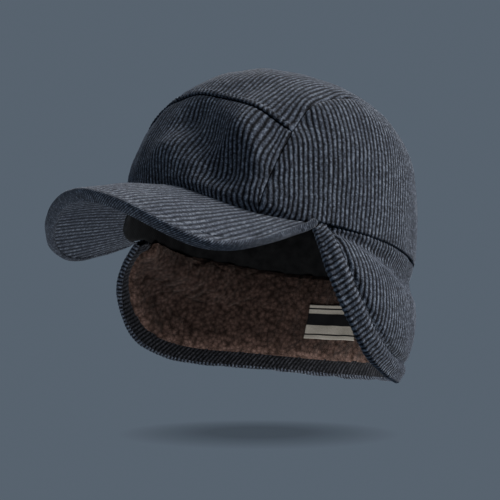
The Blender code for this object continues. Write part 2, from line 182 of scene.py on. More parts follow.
# Broad forms of the crown: name, azimuth, elevation, their spreads in degrees, and how far the cloth
# stands out as a share of CROWN_HEIGHT
FORMS = [
    ("full front", 0, 54, 55, 24, 0.050),
    ("full back", 180, 45, 60, 24, 0.059),
    ("full left side", 90, 45, 45, 22, 0.070),
    ("full right side", -90, 45, 45, 22, 0.070),
    ("full left rear", 136, 36, 30, 20, 0.024),
    ("full right rear", -136, 36, 30, 20, 0.024),
    ("right front shoulder", -38, 36, 22, 26, 0.050),
    ("dent behind the front seam", 27, 47, 16, 7, -0.020),
    ("pucker at the left corner", 51, 35, 6, 5, -0.020),
    ("long dent of the front, upper end", 8, 33, 8, 7, -0.052),
    ("long dent of the front, middle", 17, 25, 7, 7, -0.046),
    ("long dent of the front, lower end", 27, 15, 7, 7, -0.050),
    ("ridge right of the dent", 0, 21, 9, 7, 0.034),
    ("ridge right of the dent, lower end", 13, 12, 8, 5, 0.018),
    ("ridge left of the dent", 30, 29, 7, 9, 0.034),
    ("ridge left of the dent, lower end", 37, 17, 5, 8, 0.022),
    ("fold of the right shoulder", -14, 27, 5, 16, 0.018),
    ("hollow over the brim seam", 0, 12, 50, 3, -0.014),
]

# Seams of the crown, azimuths and elevations in degrees
FRONT_SIDE_FOOT = 40.0
CORNER_AZIMUTH = 48.5
CORNER_ELEVATION = 30.5
FRONT_TOP_ELEVATION = 44.0
BACK_FOOT_AZIMUTH = 149.0
TOP_SIDE_SEAM = [
    (53.0, 39.0),
    (62.0, 46.0),
    (75.0, 49.5),
    (90.0, 51.0),
    (105.0, 49.0),
    (121.0, 42.0),
    (134.0, 30.0),
    (143.0, 16.0),
]
SIDE_PANEL_TURN = 6
TOP_LENGTH = math.pi * CROWN_HEIGHT - math.radians(FRONT_TOP_ELEVATION) * FRONT_REACH

# Outer edge of the brim: shares of HALF_WIDTH, of FRONT_REACH + BRIM_REACH and of BRIM_SAG
BRIM_EDGE = [
    (0.0, 1.0, -0.19),
    (0.497, 0.908, -0.65),
    (0.732, 0.744, -1.0),
]

# Lower edge of the flap: shares of HALF_WIDTH, of BACK_REACH and of FLAP_DROP
FLAP_EDGE = [
    (0.0, 0.808, -0.992),
    (0.768, 0.546, -1.0),
    (1.124, -0.158, -0.908),
    (1.038, -0.472, -0.371),
]

# How full the flap is from back to temple, as shares of FLAP_BULGE
FLAP_FULLNESS = [
    (0.0, 0.35),
    (0.3, 0.42),
    (0.6, 1.0),
    (0.85, 0.6),
    (1.0, 0.0),
]

# Spacing of the knots of an edge curve, as a power of the distance between its places
EDGE_POWER = 0.7

# Corduroy: pitch, height, roundness and unevenness of its ribs, and the fineness of the grids
RIB_PITCH = 2.85 * MM
RIB_HEIGHT = 0.48 * MM
RIB_SHAPE = 0.42
RIB_UNEVEN_LONG = 0.18
RIB_UNEVEN_SHORT = 0.12
RIB_WANDER = 0.05
WANDER_SIZE = 50.0 * MM
CLOTH_WAVE = 26.0 * MM
RIB_SECTION = 15.0
HEM_RIB_PITCH = 1.15 * RIB_PITCH
CELL = 0.52 * MM
CELL_ALONG = 1.4 * MM
JOIN_DISTANCE = 0.08 * MM

# Camera, as it was fitted to the photograph
CAMERA_AZIMUTH = 46.53
CAMERA_ELEVATION = -11.07
CAMERA_ROLL = 7.57
CAMERA_DISTANCE = 490.9 * MM
CAMERA_TARGET = (0.0, -16.6 * MM, -4.5 * MM)
CAMERA_LENS = 55.26
CAMERA_SENSOR = 36.0

# Light: name, direction towards it, strength and spread in degrees; fills have a place and a size
SUN_COLOUR = (1.0, 0.99, 0.98)
SUNS = [
    ("key light", (-0.24, 0.34, 0.90), 0.78, 40.0),
    ("side light", (0.72, 0.42, 0.54), 1.92, 18.0),
    ("front light", (0.70, -0.35, 0.62), 0.27, 40.0),
]
FILLS = [
    ("pile fill light", (0.03, 0.0, -0.095), (-0.45, 0.35, 0.70), 0.055, 0.06),
    ("brim fill light", (-0.02, -0.12, -0.105), (-0.20, -0.10, 1.0), 0.025, 0.10),
]

# Floor and the soft shadow on it, which is placed by its pixel in the picture
FLOOR_HEIGHT = -118.0 * MM
SHADOW_PIXEL = (258.0, 432.0)
PICTURE_SIZE = 500.0
SHADOW_RADIUS = 88.0 * MM
SHADOW_SHARE = 0.60
FLOOR_PITCH = 3.5
FLOOR_RADIUS = 6.0
BACKDROP = (0.1025, 0.1248, 0.159)


def spline(places, knots, wanted):
    """Natural cubic curve through the rows of places at the knots, read at the wanted values."""
    knots = np.asarray(knots, float)
    places = np.asarray(places, float).reshape(len(knots), -1)
    shape = np.shape(wanted)
    wanted = np.ravel(np.asarray(wanted, float))
    step = np.diff(knots)
    slope = np.diff(places, axis=0) / step[:, None]
    matrix = np.eye(len(knots))
    right = np.zeros_like(places)
    for row in range(1, len(knots) - 1):
        matrix[row, row - 1] = step[row - 1]
        matrix[row, row] = 2 * (step[row - 1] + step[row])
        matrix[row, row + 1] = step[row]
        right[row] = 6 * (slope[row] - slope[row - 1])
    bend = np.linalg.solve(matrix, right)
    cell = np.clip(np.searchsorted(knots, wanted, side="right") - 1, 0, len(step) - 1)
    width = step[cell][:, None]
    before = (knots[cell + 1] - wanted)[:, None]
    after = (wanted - knots[cell])[:, None]
    curve = bend[cell] * before**3 / (6 * width) + bend[cell + 1] * after**3 / (6 * width)
    curve += (places[cell] / width - bend[cell] * width / 6) * before
    curve += (places[cell + 1] / width - bend[cell + 1] * width / 6) * after
    return curve.reshape(*shape, places.shape[1])


def mirrored_curve(table, share):
    """Smooth curve through a table of places and values, and through its mirror image."""
    rows = [(-place, value) for place, value in table[:0:-1]] + table
    return spline([row[1] for row in rows], [row[0] for row in rows], share)[..., 0]


def turned(azimuth, centre):
    """Azimuth counted from a centre, between -180 and 180 degrees."""
    return (azimuth - centre + 180.0) % 360.0 - 180.0


def stack(x, y, z):
    """Points from their three coordinates."""
    return np.stack(np.broadcast_arrays(x, y, z), -1)


def unit(vectors):
    """The vectors at length one."""
    return vectors / np.maximum(np.linalg.norm(vectors, axis=-1, keepdims=True), 1e-12)


def smooth_step(low, high, value):
    """0 below low, 1 above high and smooth between them."""
    share = np.clip((value - low) / (high - low), 0.0, 1.0)
    return share * share * (3 - 2 * share)


def hill(value, middle, spread):
    """1 where the value is at the middle, falling smoothly to 0 on both sides."""
    return np.exp(-((value - middle) / spread) ** 2)


def lengths_along(places):
    """Length along a line, from its first place to each place."""
    return np.concatenate([[0.0], np.cumsum(np.linalg.norm(np.diff(places, axis=0), axis=1))])


def lengths_down(points):
    """Length down each column of a grid, from its first row."""
    return np.cumsum(np.linalg.norm(np.diff(points, axis=0, prepend=points[:1]), axis=-1), axis=0)


# The crown's surface


def plan_radius(azimuth):
    """Outside radius of the crown's plan at the base."""
    angle = np.radians(azimuth)
    reach = np.where(np.cos(angle) > 0, FRONT_REACH, BACK_REACH)
    across = np.abs(np.sin(angle)) / HALF_WIDTH
    along = np.abs(np.cos(angle)) / reach
    return (across**PLAN_ROUNDNESS + along**PLAN_ROUNDNESS) ** (-1 / PLAN_ROUNDNESS)


def base_height(azimuth):
    """Height of the crown's lower edge."""
    way = np.abs(turned(azimuth, 0.0))
    front = BRIM_ARCH * mirrored_curve(BASE_LINE, np.minimum(way / TEMPLE_AZIMUTH, 1.0))
    behind = (way - TEMPLE_AZIMUTH) / (180.0 - TEMPLE_AZIMUTH)
    return np.where(way <= TEMPLE_AZIMUTH, front, -BACK_DROP * np.sin(0.5 * np.pi * behind) ** 2)


def base_elevation(azimuth):
    """Elevation of the crown's lower edge, seen from the origin."""
    return np.degrees(np.arctan2(base_height(azimuth), plan_radius(azimuth)))


def crown_point(azimuth, elevation, inset=0.0):
    """Point on the outside of the crown, or so far inside it."""
    angle = np.radians(azimuth)
    rise = np.radians(elevation)
    flat = (np.abs(np.cos(rise)) / plan_radius(azimuth)) ** PROFILE_ROUNDNESS
    tall = (np.abs(np.sin(rise)) / CROWN_HEIGHT) ** PROFILE_ROUNDNESS
    radius = (flat + tall) ** (-1 / PROFILE_ROUNDNESS)
    for name, around, up, around_spread, up_spread, share in FORMS:
        aside = turned(azimuth, around) / around_spread
        above = (elevation - up) / up_spread
        radius = radius + share * CROWN_HEIGHT * np.exp(-aside**2 - above**2)
    radius = radius - inset
    level = radius * np.cos(rise)
    return stack(level * np.sin(angle), -level * np.cos(angle), radius * np.sin(rise))


def base_point(azimuth, inset=0.0):
    """Point on the crown's lower edge, or so far inside it."""
    return crown_point(azimuth, base_elevation(azimuth), inset)


def direction(azimuth, elevation):
    """Unit vector for an azimuth and an elevation in degrees."""
    angle = np.radians(azimuth)
    rise = np.radians(elevation)
    return stack(np.cos(rise) * np.sin(angle), -np.cos(rise) * np.cos(angle), np.sin(rise))


def on_crown(way, inset=0.0):
    """Point where a direction from the origin meets the crown."""
    way = unit(way)
    azimuth = np.degrees(np.arctan2(way[..., 0], -way[..., 1]))
    return crown_point(azimuth, np.degrees(np.arcsin(way[..., 2])), inset)


def base_way(azimuth):
    """Direction of a point of the crown's lower edge."""
    return direction(azimuth, base_elevation(azimuth))


def front_side_way(share, side):
    """Direction along the seam between the front and a side panel."""
    azimuth = FRONT_SIDE_FOOT + (CORNER_AZIMUTH - FRONT_SIDE_FOOT) * share**1.5
    low = base_elevation(azimuth)
    return direction(side * azimuth, low + (CORNER_ELEVATION - low) * share)


def front_top_way(share):
    """Direction along the seam over the front panel, from the right corner to the left one."""
    azimuth = CORNER_AZIMUTH * (2 * share - 1)
    arch = np.cos(0.5 * np.pi * (2 * share - 1))
    return direction(azimuth, CORNER_ELEVATION + (FRONT_TOP_ELEVATION - CORNER_ELEVATION) * arch)


def top_side_way(share, side, start=0.0, end=1.0):
    """Direction along the seam between the top and a side panel, or along a stretch of it."""
    foot = (BACK_FOOT_AZIMUTH, float(base_elevation(BACK_FOOT_AZIMUTH)))
    rows = [(CORNER_AZIMUTH, CORNER_ELEVATION)] + TOP_SIDE_SEAM + [foot]
    knots = np.arange(len(rows)) / (len(rows) - 1)
    place = spline(rows, knots, start + (end - start) * share)
    return direction(side * place[..., 0], place[..., 1])


def patch(low, high, left, right):
    """Blend four border curves into one surface of directions over the unit square."""
    start = np.array(0.0)
    end = np.array(1.0)

    def way(across, up):
        u = across[..., None]
        v = up[..., None]
        between = (1 - v) * low(across) + v * high(across) + (1 - u) * left(up) + u * right(up)
        low_corners = (1 - u) * low(start) + u * low(end)
        high_corners = (1 - u) * high(start) + u * high(end)
        return between - (1 - v) * low_corners - v * high_corners
    return way


def front_panel_way():
    """The front panel, between the brim seam and the seam over it."""
    return patch(lambda u: base_way(FRONT_SIDE_FOOT * (2 * u - 1)), front_top_way,
                 lambda v: front_side_way(v, -1), lambda v: front_side_way(v, 1))


def top_panel_way():
    """The strip from the seam over the front, across the top to the back of the base."""
    back = 180.0 - BACK_FOOT_AZIMUTH
    return patch(front_top_way, lambda u: base_way(180.0 + back * (1 - 2 * u)),
                 lambda v: top_side_way(v, -1), lambda v: top_side_way(v, 1))


def side_panel_way(side):
    """A side panel. Its upper seam makes both the top and the back of its four borders."""
    turn = SIDE_PANEL_TURN / (len(TOP_SIDE_SEAM) + 1)
    reach = BACK_FOOT_AZIMUTH - FRONT_SIDE_FOOT
    return patch(lambda u: base_way(side * (FRONT_SIDE_FOOT + reach * u)),
                 lambda u: top_side_way(u, side, 0.0, turn),
                 lambda v: front_side_way(v, side),
                 lambda v: top_side_way(1 - v, side, turn, 1.0))


# The brim's and the flap's surfaces


def edge_places(rows, sizes):
    """Places and knots of an edge, from the right temple round to the left one."""
    temple = base_point(np.array(TEMPLE_AZIMUTH))
    half = [np.array(row) * sizes for row in rows] + [temple]
    places = np.array([place * [-1, 1, 1] for place in half[:0:-1]] + half)
    lengths = np.linalg.norm(np.diff(places, axis=0), axis=1) ** EDGE_POWER
    knots = np.concatenate([[0.0], np.cumsum(lengths)])
    return places, knots / knots[-1]


BRIM_PLACES = edge_places(BRIM_EDGE, np.array([HALF_WIDTH, -(FRONT_REACH + BRIM_REACH), BRIM_SAG]))
FLAP_PLACES = edge_places(FLAP_EDGE, np.array([HALF_WIDTH, BACK_REACH, FLAP_DROP]))


def brim_edge(round_share):
    """Middle of the brim's outer edge, from -1 at the right temple to 1 at the left one."""
    return spline(*BRIM_PLACES, 0.5 + 0.5 * round_share)


def brim_share(round_share):
    """Thickness of the padded brim as a share of its full one, less towards the temples."""
    return 1 - (1 - BRIM_TEMPLE_SHARE) * np.abs(round_share) ** 3


def brim_rule(round_share, out):
    """Straight lines from the brim's root to the middle of its edge, crowned a little."""
    root = base_point(TEMPLE_AZIMUTH * round_share, BRIM_ROOT_INSET)
    root = root - np.array([0.0, 0.0, SEAM_GAP])
    place = root + (brim_edge(round_share) - root) * out[..., None]
    lift = BRIM_CROWNING * (1 - round_share**2) * np.sin(np.pi * out)
    return place + stack(0.0, 0.0, lift)


def normal_of(surface, across, down, step=1e-3):
    """Unit normal of a surface, by small steps along its two shares."""
    along = surface(across + step, down) - surface(across - step, down)
    below = surface(across, down + step) - surface(across, down - step)
    return unit(np.cross(along, below))


def brim_surface(round_share, out):
    """Top of the brim: at the root just under the crown, at the edge half a thickness up."""
    lift = 0.5 * BRIM_THICKNESS * brim_share(round_share) * out**2
    return brim_rule(round_share, out) - lift[..., None] * normal_of(brim_rule, round_share, out)


def brim_point(round_share, out, depth):
    """Point of the brim at a share of its full thickness under its top."""
    inward = normal_of(brim_surface, round_share, out)
    return brim_surface(round_share, out) + (depth * brim_share(round_share))[..., None] * inward


def flap_top(round_share):
    """Upper edge of the flap, just under the crown."""
    azimuth = 180.0 - (180.0 - TEMPLE_AZIMUTH) * round_share
    return base_point(azimuth, OVERHANG) - np.array([0.0, 0.0, SEAM_GAP])


def flap_edge(round_share):
    """Lower edge of the flap, from the right temple at -1 to the left one at 1."""
    return spline(*FLAP_PLACES, 0.5 + 0.5 * round_share)


def flap_surface(round_share, down):
    """Outside of the flap."""
    top = flap_top(round_share)
    place = top + (flap_edge(round_share) - top) * down[..., None]
    azimuth = np.radians(180.0 - (180.0 - TEMPLE_AZIMUTH) * round_share)
    full = FLAP_BULGE * mirrored_curve(FLAP_FULLNESS, round_share)
    swell = full * np.sin(np.pi * np.clip(down, 0, 1) ** 1.3)
    near_temple = smooth_step(0.35, 0.62, np.abs(round_share)) * (1 - round_share**8)
    fall = np.sin(np.pi * np.clip(down / FLAP_TUCK_DEPTH, 0, 1)) ** 2
    tuck = (FLAP_TUCK_BACK + (FLAP_TUCK - FLAP_TUCK_BACK) * near_temple) * (1 - round_share**8) * fall
    return place + (swell - tuck)[..., None] * stack(np.sin(azimuth), -np.cos(azimuth), 0.0)


def flap_point(round_share, down, depth=0.0):
    """Point of the flap at a depth under its outside."""
    inward = normal_of(flap_surface, round_share, down)
    return flap_surface(round_share, down) - np.asarray(depth)[..., None] * inward


def flap_height(round_share):
    """Height of the flap, square to its lower edge."""
    fall = flap_edge(round_share) - flap_top(round_share)
    along = unit(flap_edge(round_share + 1e-3) - flap_edge(round_share - 1e-3))
    return np.linalg.norm(fall - along * np.sum(fall * along, -1, keepdims=True), axis=-1)


def hem_start(round_share, width):
    """How far down the flap a strip of that width along its edge starts."""
    return 1.0 - width / np.maximum(flap_height(round_share), 1e-6)


def lining_end():
    """Share of the way to the temple where the lining is still a few millimetres tall."""
    shares = np.arange(FLAP_END, 0.5, -0.005)
    tall = hem_start(shares, HEM_WIDTH) * np.linalg.norm(flap_edge(shares) - flap_top(shares), axis=-1)
    return float(shares[np.argmax(tall > 4.0 * MM)])


# Cloth as fine grids of points


def grid_normals(points, outward):
    """Unit normals of a grid of points, turned to the side of the given directions."""
    across = np.gradient(points, axis=1)
    along = np.gradient(points, axis=0)
    normals = unit(np.cross(across, along))
    if np.sum(normals * outward) < 0:
        normals = -normals
    return normals


def past_edge_way(edge, normals, axis):
    """Directions that carry a cloth on past its edge, towards the low end of an axis."""
    ahead = unit(np.cross(unit(np.gradient(edge, axis=0)), normals))
    return -ahead if np.mean(ahead[:, axis]) > 0 else ahead


def waves(points, size, seed):
    """Smooth uneven waves between about -1 and 1, of a given size, from seeded sines."""
    chance = np.random.default_rng(seed)
    total = np.zeros(points.shape[:-1])
    for count in range(7):
        way = chance.normal(size=3)
        way *= chance.uniform(0.7, 1.6) / np.linalg.norm(way)
        total += np.sin(points @ way * (2 * np.pi / size) + chance.uniform(0, 2 * np.pi))
    return total / 3.0


def uneven(points, ways, height, size, seed):
    """The points moved in and out along their directions by smooth waves."""
    return points + (height * waves(points, size, seed))[..., None] * ways


def rib_profile(ribs):
    """Height of the ribs between 0 in a groove and 1 on a crest."""
    return (0.5 - 0.5 * np.cos(2 * np.pi * ribs)) ** RIB_SHAPE


def ribbed(points, normals, ribs, height=RIB_HEIGHT):
    """The points with the grooves between the ribs cut in."""
    swell = 1 + RIB_UNEVEN_LONG * waves(points, 9 * MM, 4) + RIB_UNEVEN_SHORT * waves(points, 4 * MM, 5)
    depth = height * (1 - rib_profile(ribs) * swell)
    return points - depth[..., None] * normals


def section_scale(places, axis):
    """Length along a section against one coordinate, for ribs that lie in parallel planes."""
    return places[:, axis], lengths_along(places)


def read_scale(scale, value):
    """Length for a coordinate, carried on straight past both ends."""
    places, lengths = scale
    low = (lengths[1] - lengths[0]) / (places[1] - places[0])
    high = (lengths[-1] - lengths[-2]) / (places[-1] - places[-2])
    inside = np.interp(value, places, lengths)
    return inside + np.minimum(value - places[0], 0) * low + np.maximum(value - places[-1], 0) * high


def make_mesh(name, points, grain, material, loop=False):
    """An object laid on a grid of points, with the run of the ribs in a map of its own."""
    rows, columns = points.shape[:2]
    number = np.arange(rows * columns).reshape(rows, columns)
    joined = number.copy()
    if loop:
        joined[:, -1] = joined[:, 0]
    corners, sources = (np.stack([grid[:-1, :-1], grid[1:, :-1], grid[1:, 1:], grid[:-1, 1:]], -1).reshape(-1)
                        for grid in (joined, number))
    mesh = bpy.data.meshes.new(name)
    mesh.vertices.add(rows * columns)
    mesh.vertices.foreach_set("co", points.reshape(-1).astype(np.float32))
    mesh.loops.add(len(corners))
    mesh.loops.foreach_set("vertex_index", corners.astype(np.int32))
    mesh.polygons.add(len(corners) // 4)
    mesh.polygons.foreach_set("loop_start", np.arange(0, len(corners), 4, dtype=np.int32))
    mesh.update(calc_edges=True)
    if grain is not None:
        layer = mesh.uv_layers.new(name="grain")
        layer.data.foreach_set("uv", grain.reshape(-1, 2)[sources].reshape(-1).astype(np.float32))
    mesh.materials.append(material)
    mesh.validate()
    clean_mesh(mesh)
    mesh.shade_smooth()
    return add_object(name, mesh)


def add_object(name, data):
    """An object with its data, linked to the scene."""
    thing = bpy.data.objects.new(name, data)
    bpy.context.scene.collection.objects.link(thing)
    return thing


def clean_mesh(mesh):
    """Join points that fall together, and drop the faces and points that this leaves flat or loose."""
    work = bmesh.new()
    work.from_mesh(mesh)
    bmesh.ops.remove_doubles(work, verts=work.verts, dist=JOIN_DISTANCE)
    bmesh.ops.dissolve_degenerate(work, dist=0.5 * JOIN_DISTANCE, edges=work.edges)
    loose = [vertex for vertex in work.verts if not vertex.link_faces]
    bmesh.ops.delete(work, geom=loose, context="VERTS")
    work.to_mesh(mesh)
    work.free()


def turned_in(points, normals, depth):
    """The grid with one more row all round, turned in towards the head."""
    wide = np.pad(points, ((1, 1), (1, 1), (0, 0)), mode="edge")
    ways = np.pad(normals, ((1, 1), (1, 1), (0, 0)), mode="edge")
    inner = wide - depth * ways
    wide[0] = inner[0]
    wide[-1] = inner[-1]
    wide[:, 0] = inner[:, 0]
    wide[:, -1] = inner[:, -1]
    return wide


def stitches(name, path, normals, material, length=2.4 * MM, gap=0.9 * MM, radius=0.32 * MM):
    """A row of thread stitches along a path of points on the cloth."""
    run = lengths_along(path)
    rings = np.linspace(0, 1, 5)
    sides = np.linspace(0, 2 * np.pi, 7)[:-1]
    count = len(sides)

    def read(rows, at):
        return np.array([np.interp(at, run, rows[:, axis]) for axis in range(3)])
    points = []
    faces = []
    for start in np.arange(gap, run[-1] - length - gap, length + gap):
        first = len(points)
        for ring in rings:
            at = start + length * ring
            up = unit(read(normals, at))
            aside = unit(np.cross(up, read(path, at + 0.2 * MM) - read(path, at - 0.2 * MM)))
            arch = np.sin(np.pi * ring)
            round_size = radius * (0.45 + 0.55 * arch**0.5)
            middle = read(path, at) + up * (radius * (1.1 * arch - 0.7))
            for side in sides:
                points.append(middle + round_size * (np.cos(side) * aside + np.sin(side) * up))
        for ring in range(len(rings) - 1):
            for side in range(count):
                low = first + ring * count + side
                next_low = first + ring * count + (side + 1) % count
                faces.append((low, next_low, next_low + count, low + count))
        faces.append(tuple(first + side for side in range(count))[::-1])
        faces.append(tuple(first + (len(rings) - 1) * count + side for side in range(count)))
    mesh = bpy.data.meshes.new(name)
    mesh.from_pydata([tuple(point) for point in points], [], faces)
    mesh.materials.append(material)
    mesh.shade_smooth()
    return add_object(name, mesh)


# Materials


def new_material(name):
    """A new material, its node tree and its main shader."""
    material = bpy.data.materials.new(name)
    material.use_nodes = True
    return material, material.node_tree, material.node_tree.nodes["Principled BSDF"]


def feed(tree, socket, value):
    """Give an input a plain number, a colour or the output of another node."""
    if isinstance(value, (int, float)):
        socket.default_value = value
    elif isinstance(value, tuple):
        socket.default_value = (*value, 1.0)
    elif value is not None:
        tree.links.new(value, socket)


def feed_all(tree, node, values):
    """Give the named inputs of a node their values."""
    for name, value in values.items():
        feed(tree, node.inputs[name], value)
    return node


def math_node(tree, operation, *values):
    """A Math node."""
    node = tree.nodes.new("ShaderNodeMath")
    node.operation = operation
    for place, value in enumerate(values):
        feed(tree, node.inputs[place], value)
    return node.outputs[0]


def noise_node(tree, vector, scale, detail=2.0, roughness=0.5):
    """A Noise texture read at a vector."""
    values = {"Scale": scale, "Detail": detail, "Roughness": roughness, "Vector": vector}
    return feed_all(tree, tree.nodes.new("ShaderNodeTexNoise"), values).outputs["Fac"]


def ramp_node(tree, value, stops):
    """A colour ramp with the given places and colours."""
    node = tree.nodes.new("ShaderNodeValToRGB")
    ramp = node.color_ramp
    while len(ramp.elements) < len(stops):
        ramp.elements.new(0.5)
    for element, (place, colour) in zip(ramp.elements, stops):
        element.position = place
        element.color = (*colour, 1.0)
    tree.links.new(value, node.inputs["Fac"])
    return node.outputs["Color"]


def multiply_node(tree, first, second):
    """The product of two colours."""
    node = tree.nodes.new("ShaderNodeMix")
    node.data_type = "RGBA"
    node.blend_type = "MULTIPLY"
    for place, value in ((0, 1.0), (6, first), (7, second)):
        feed(tree, node.inputs[place], value)
    return node.outputs[2]


def bump_node(tree, height, strength, distance, before=None):
    """A Bump node on top of another normal."""
    values = {"Strength": strength, "Distance": distance, "Height": height, "Normal": before}
    return feed_all(tree, tree.nodes.new("ShaderNodeBump"), values).outputs["Normal"]


def object_place(tree):
    """Place on the object, in metres."""
    return tree.nodes.new("ShaderNodeTexCoord").outputs["Object"]


def grain_axes(tree):
    """The two axes of the map that is laid along the cloth."""
    grain = tree.nodes.new("ShaderNodeUVMap")
    grain.uv_map = "grain"
    split = tree.nodes.new("ShaderNodeSeparateXYZ")
    tree.links.new(grain.outputs["UV"], split.inputs[0])
    return split.outputs["X"], split.outputs["Y"]


def corduroy_material(name, groove, flank, crest, fleck_highlight):
    """Corduroy: painted shade in its grooves, mottled flanks, and pale pile on the crests of the ribs, partly
    its own colour and partly painted highlight.
    """
    material, tree, shader = new_material(name)
    across, along = grain_axes(tree)
    place = object_place(tree)
    wander = math_node(tree, "SUBTRACT", noise_node(tree, place, 420.0), 0.5)
    ribs = math_node(tree, "ADD", across, math_node(tree, "MULTIPLY", wander, 0.22))
    wave = math_node(tree, "COSINE", math_node(tree, "MULTIPLY", ribs, 2 * math.pi))
    profile = math_node(tree, "MULTIPLY_ADD", wave, -0.5, 0.5)
    broad_profile = math_node(tree, "POWER", profile, RIB_SHAPE)
    fine = math_node(tree, "MULTIPLY", noise_node(tree, place, 1300.0, 2.0, 0.7), 0.55)
    beads = math_node(tree, "MULTIPLY", noise_node(tree, place, 560.0, 1.0, 0.5), 0.45)
    tufts = math_node(tree, "ADD", fine, beads)
    lifted = math_node(tree, "MULTIPLY_ADD", tufts, 2.30, math_node(tree, "SUBTRACT", broad_profile, 1.37))
    # The groove colour is painted shade in the grooves, and the fleck colour is painted highlight on the
    # crests of the ribs
    colour = ramp_node(tree, lifted, [(0.10, groove), (0.36, flank), (0.72, crest), (1.0, fleck_highlight)])
    broad = noise_node(tree, place, 38.0, 3.0)
    shade = ramp_node(tree, broad, [(0.30, (0.80, 0.80, 0.82)), (0.70, (1.12, 1.12, 1.10))])
    soft = bump_node(tree, profile, 0.3, 0.4 * MM)
    feed_all(tree, shader, {
        "Base Color": multiply_node(tree, colour, shade), "Roughness": 0.95, "Specular IOR Level": 0.15,
        "Sheen Weight": 0.30, "Sheen Roughness": 0.45, "Sheen Tint": (0.84, 0.84, 0.88),
        "Normal": bump_node(tree, tufts, 0.9, 0.8 * MM, soft)})
    return material


def pile_material():
    """Brown curly pile, with painted shade between its curls, and lighter towards its lower border and its
    ends.
    """
    material, tree, shader = new_material("brown pile")
    lighter, curl = grain_axes(tree)
    place = object_place(tree)
    cells = feed_all(tree, tree.nodes.new("ShaderNodeTexVoronoi"), {"Scale": 330.0, "Vector": place})
    fibres = math_node(tree, "MULTIPLY", noise_node(tree, place, 1400.0, 4.0, 0.7), 0.9)
    mixed = math_node(tree, "ADD", fibres, math_node(tree, "MULTIPLY", cells.outputs["Distance"], -0.45))
    # Darker where the fine cells meet: painted shade between the small curls, over the fibres' own mottling
    colour = ramp_node(tree, mixed, [(0.05, (0.030, 0.018, 0.014)), (0.30, (0.130, 0.083, 0.069)),
                                     (0.62, (0.30, 0.200, 0.165))])
    # Low curl heights get painted shade between the curls, the border share makes the pile lighter towards
    # its lower border and ends, and the broad noise is random tone
    for value, stops in (
            (curl, [(0.15, (0.35, 0.33, 0.32)), (0.75, (1.0, 1.0, 1.0))]),
            (lighter, [(0.0, (0.85, 0.85, 0.85)), (1.0, (1.95, 1.98, 1.95))]),
            (noise_node(tree, place, 70.0, 3.0), [(0.30, (0.70, 0.68, 0.66)), (0.70, (1.25, 1.22, 1.20))])):
        colour = multiply_node(tree, colour, ramp_node(tree, value, stops))
    feed_all(tree, shader, {
        "Base Color": colour, "Roughness": 1.0, "Specular IOR Level": 0.1, "Sheen Weight": 0.35,
        "Sheen Roughness": 0.5, "Sheen Tint": (0.85, 0.72, 0.65),
        "Normal": bump_node(tree, mixed, 1.0, 1.2 * MM)})
    return material


def band_material():
    """Black smooth cloth with a fine twill."""
    material, tree, shader = new_material("black band cloth")
    place = object_place(tree)
    weave = tree.nodes.new("ShaderNodeTexWave")
    weave.wave_type = "BANDS"
    weave.bands_direction = "DIAGONAL"
    feed_all(tree, weave, {"Scale": 300.0, "Distortion": 1.5, "Vector": place})
    mottle = noise_node(tree, place, 160.0, 4.0)
    colour = ramp_node(tree, mottle, [(0.3, (0.010, 0.010, 0.011)), (0.7, (0.026, 0.026, 0.027))])
    feed_all(tree, shader, {
        "Base Color": colour, "Roughness": 0.8, "Specular IOR Level": 0.25, "Sheen Weight": 0.12,
        "Normal": bump_node(tree, weave.outputs["Fac"], 0.4, 0.2 * MM)})
    return material


def label_material():
    """Cream woven cloth with plain dark stripes."""
    material, tree, shader = new_material("cream woven label")
    across, down = grain_axes(tree)
    stops = [(0.0, LABEL_CREAM)]
    for start, end in LABEL_STRIPES:
        stops += [(start - LABEL_BLEND, LABEL_CREAM), (start, LABEL_DARK)]
        stops += [(end, LABEL_DARK), (end + LABEL_BLEND, LABEL_CREAM)]
    threads = noise_node(tree, object_place(tree), 1800.0, 3.0, 0.6)
    shade = ramp_node(tree, threads, [(0.3, (0.72, 0.71, 0.70)), (0.7, (1.1, 1.1, 1.1))])
    feed_all(tree, shader, {
        "Base Color": multiply_node(tree, ramp_node(tree, down, stops), shade), "Roughness": 0.75,
        "Specular IOR Level": 0.2, "Normal": bump_node(tree, threads, 0.5, 0.2 * MM)})
    return material


def thread_material():
    """Dark blue sewing thread."""
    material, tree, shader = new_material("dark thread")
    twist = noise_node(tree, object_place(tree), 2200.0, 2.0)
    colour = ramp_node(tree, twist, [(0.3, (0.018, 0.022, 0.032)), (0.7, (0.06, 0.07, 0.09))])
    feed_all(tree, shader, {"Base Color": colour, "Roughness": 0.6, "Specular IOR Level": 0.3})
    return material


def floor_material():
    """Even backdrop of its own brightness, with a soft round shadow in its middle."""
    material, tree, shader = new_material("plain floor")
    length = tree.nodes.new("ShaderNodeVectorMath")
    length.operation = "LENGTH"
    tree.links.new(object_place(tree), length.inputs[0])
    share = math_node(tree, "DIVIDE", length.outputs["Value"], SHADOW_RADIUS)
    dark = tuple(SHADOW_SHARE * part for part in BACKDROP)
    middle = tuple(0.5 * (1 + SHADOW_SHARE) * part for part in BACKDROP)
    feed_all(tree, shader, {
        "Base Color": (0.0, 0.0, 0.0), "Roughness": 1.0, "Specular IOR Level": 0.0, "Emission Strength": 1.0,
        "Emission Color": ramp_node(tree, share, [(0.35, dark), (0.70, middle), (1.0, BACKDROP)])})
    return material


# The pieces


def take_place(piece, node):
    """Let a piece ride on the body and stand in for a solid, where it has one."""
    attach(piece, "root")
    if node is not None:
        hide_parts(node)
    return piece


def cloth_piece(name, wide, across, down, material, node):
    """A piece on a grid that already has its borders turned in, mapped by the lengths on its cloth."""
    grain = np.pad(np.stack([across, down], -1), ((1, 1), (1, 1), (0, 0)), mode="edge")
    return take_place(make_mesh(name, wide, grain, material), node)


